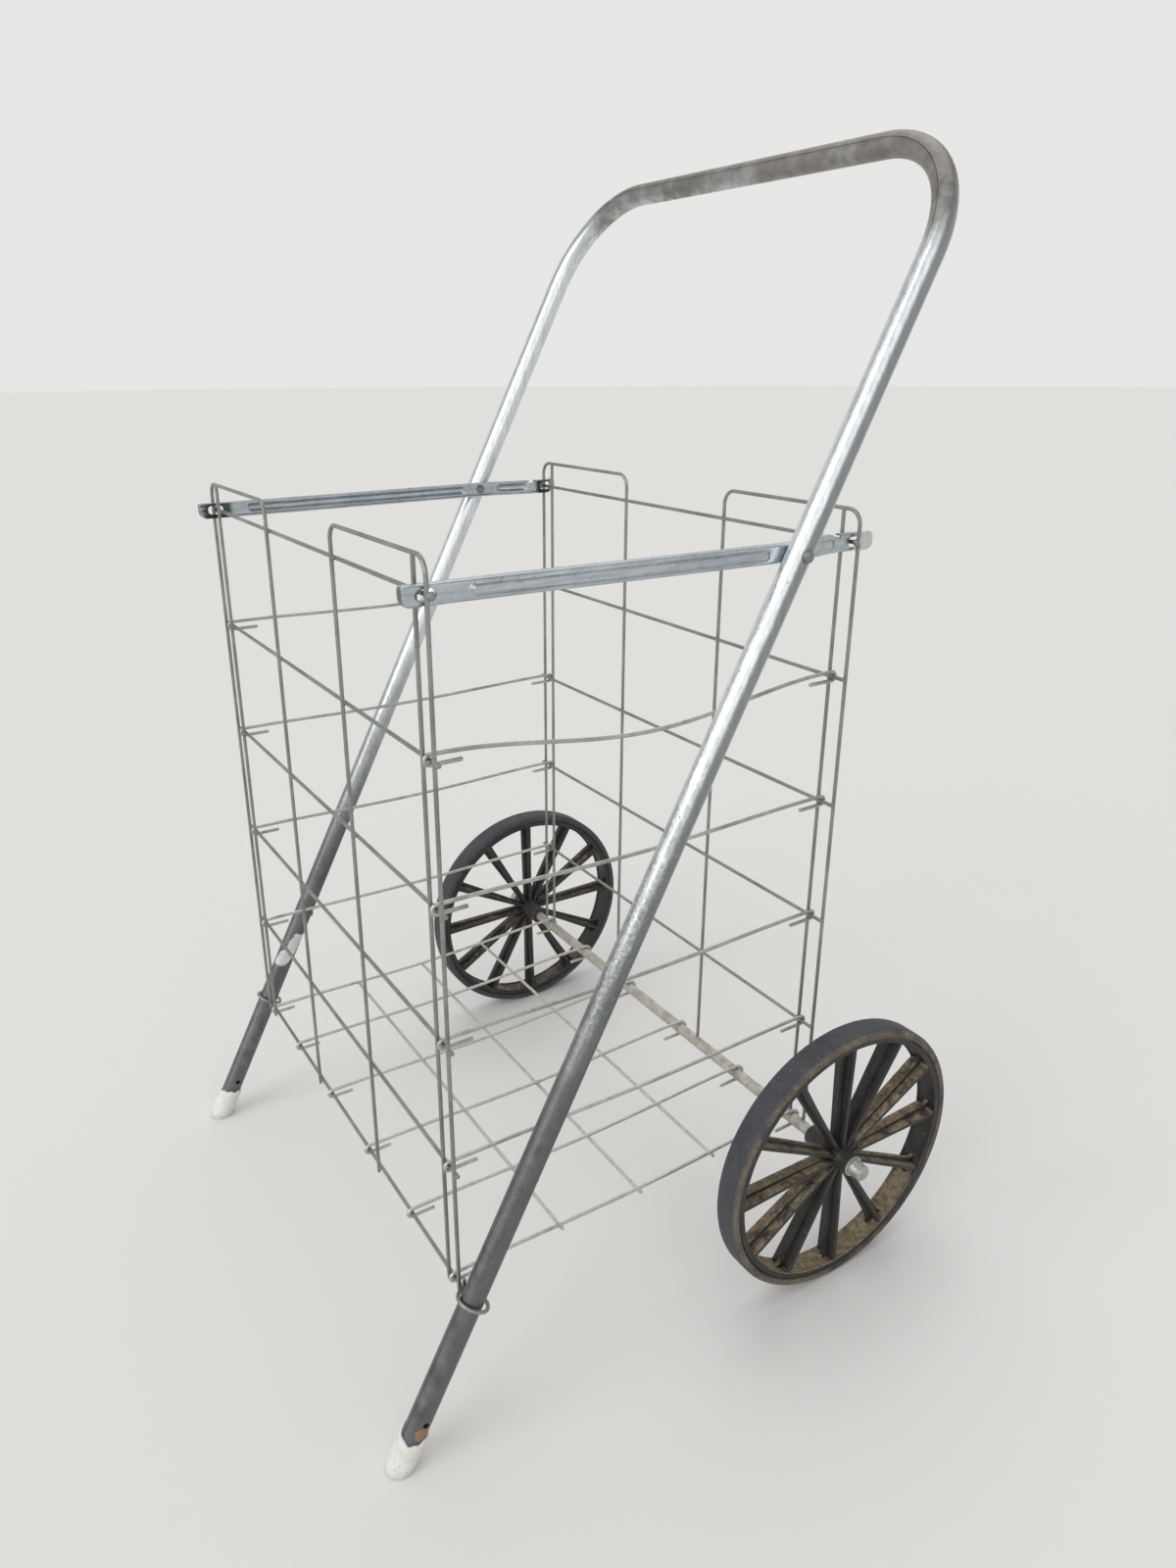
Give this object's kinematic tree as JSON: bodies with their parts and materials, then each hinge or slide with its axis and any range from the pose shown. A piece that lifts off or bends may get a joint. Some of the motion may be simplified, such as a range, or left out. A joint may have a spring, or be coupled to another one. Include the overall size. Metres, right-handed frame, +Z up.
{
  "type": "folding shopping cart",
  "caption": "Folding two-wheeled wire shopping cart: a hinged wire basket with pressed rails, a bent tube handle that runs down to capped feet, and spoked wheels on an axle.",
  "frame": {"origin": "middle of the footprint, on the ground", "axes": "+Z up, -Y towards the feet at the front, +Y towards the wheels and the handle bar, X along the axle"},
  "size_m": [0.6396, 0.5704, 0.966],
  "materials": {
    "zinc_tube": "dull zinc plate with pits, flaked spots and light rust",
    "zinc_rail": "dull zinc plate",
    "basket_wire": "grey oxidised wire with rust specks",
    "floor_wire": "worn pale wire with rust specks",
    "rivet_steel": "dull zinc plate",
    "axle_steel": "dull, dirty steel",
    "cap_steel": "dull zinc plate",
    "wheel_plastic": "black moulded plastic with brown dirt on the ledges",
    "tyre_rubber": "faded grey-black rubber",
    "foot_plastic": "off-white, dirty and cracked"
  },
  "bodies": {
    "rear_frame": {"rear_panel": "basket_wire", "axle": "axle_steel", "axle_washer_left": "axle_steel", "axle_washer_right": "axle_steel", "axle_cap_left": "cap_steel", "axle_cap_right": "cap_steel"},
    "rails": {"rail_left": "zinc_rail", "rail_right": "zinc_rail"},
    "front_frame": {"front_panel": "basket_wire"},
    "handle": {"handle_frame": "zinc_tube", "foot_cap_left": "foot_plastic", "foot_cap_right": "foot_plastic", "leg_rivet_left": "rivet_steel", "leg_rivet_right": "rivet_steel", "rail_rivet_left": "rivet_steel", "rail_rivet_right": "rivet_steel"},
    "guide_rings": {"guide_ring_left": "basket_wire", "guide_ring_right": "basket_wire"},
    "floor": {"floor_panel": "floor_wire"},
    "side_wires_1": {"side_wire_left_1": "floor_wire", "side_wire_right_1": "floor_wire"},
    "side_wires_2": {"side_wire_left_2": "floor_wire", "side_wire_right_2": "floor_wire"},
    "side_wires_3": {"side_wire_left_3": "floor_wire", "side_wire_right_3": "floor_wire"},
    "side_wires_4": {"side_wire_left_4": "floor_wire", "side_wire_right_4": "floor_wire"},
    "wheel_left": {"wheel_left": "wheel_plastic", "tyre_left": "tyre_rubber"},
    "wheel_right": {"wheel_right": "wheel_plastic", "tyre_right": "tyre_rubber"}
  },
  "joints": [
    {"name": "fold", "type": "hinge", "parent": "rear_frame", "child": "rails", "pos_m": [0, 0.16124, 0.67495], "axis": [-1, 0, 0], "range_deg": [0, 70]},
    {"name": "front_panel_fold", "type": "hinge", "parent": "rails", "child": "front_frame", "pos_m": [0, -0.19476, 0.67495], "axis": [-1, 0, 0], "range_deg": [-70, 0]},
    {"name": "handle_fold", "type": "hinge", "parent": "rails", "child": "handle", "pos_m": [0, 0.08774, 0.67495], "axis": [-1, 0, 0], "range_deg": [-77.7, 0]},
    {"name": "ring_slide", "type": "slide", "parent": "handle", "child": "guide_rings", "axis": [0, 0.4699, 0.8827], "range_m": [0, 0.3192]},
    {"name": "floor_fold", "type": "hinge", "parent": "rear_frame", "child": "floor", "pos_m": [0, 0.15422, 0.131], "axis": [-1, 0, 0], "range_deg": [0, 70]},
    {"name": "side_fold_1", "type": "hinge", "parent": "rear_frame", "child": "side_wires_1", "pos_m": [0, 0.15562, 0.23979], "axis": [-1, 0, 0], "range_deg": [0, 70]},
    {"name": "side_fold_2", "type": "hinge", "parent": "rear_frame", "child": "side_wires_2", "pos_m": [0, 0.15703, 0.34858], "axis": [-1, 0, 0], "range_deg": [0, 70]},
    {"name": "side_fold_3", "type": "hinge", "parent": "rear_frame", "child": "side_wires_3", "pos_m": [0, 0.15843, 0.45737], "axis": [-1, 0, 0], "range_deg": [0, 70]},
    {"name": "side_fold_4", "type": "hinge", "parent": "rear_frame", "child": "side_wires_4", "pos_m": [0, 0.15984, 0.56616], "axis": [-1, 0, 0], "range_deg": [0, 70]},
    {"name": "wheel_left_spin", "type": "hinge", "parent": "rear_frame", "child": "wheel_left", "pos_m": [-0.2845, 0.15422, 0.131], "axis": [1, 0, 0], "continuous": true},
    {"name": "wheel_right_spin", "type": "hinge", "parent": "rear_frame", "child": "wheel_right", "pos_m": [0.2845, 0.15422, 0.131], "axis": [1, 0, 0], "continuous": true}
  ],
  "couplings": [
    {"joint": "front_panel_fold", "follows": "fold", "ratio": -1},
    {"joint": "handle_fold", "follows": "fold", "ratio": -1.1087},
    {"joint": "ring_slide", "follows": "fold", "m_per_rad": 0.26115},
    {"joint": "floor_fold", "follows": "fold", "ratio": 1},
    {"joint": "side_fold_1", "follows": "fold", "ratio": 1},
    {"joint": "side_fold_2", "follows": "fold", "ratio": 1},
    {"joint": "side_fold_3", "follows": "fold", "ratio": 1},
    {"joint": "side_fold_4", "follows": "fold", "ratio": 1}
  ]
}
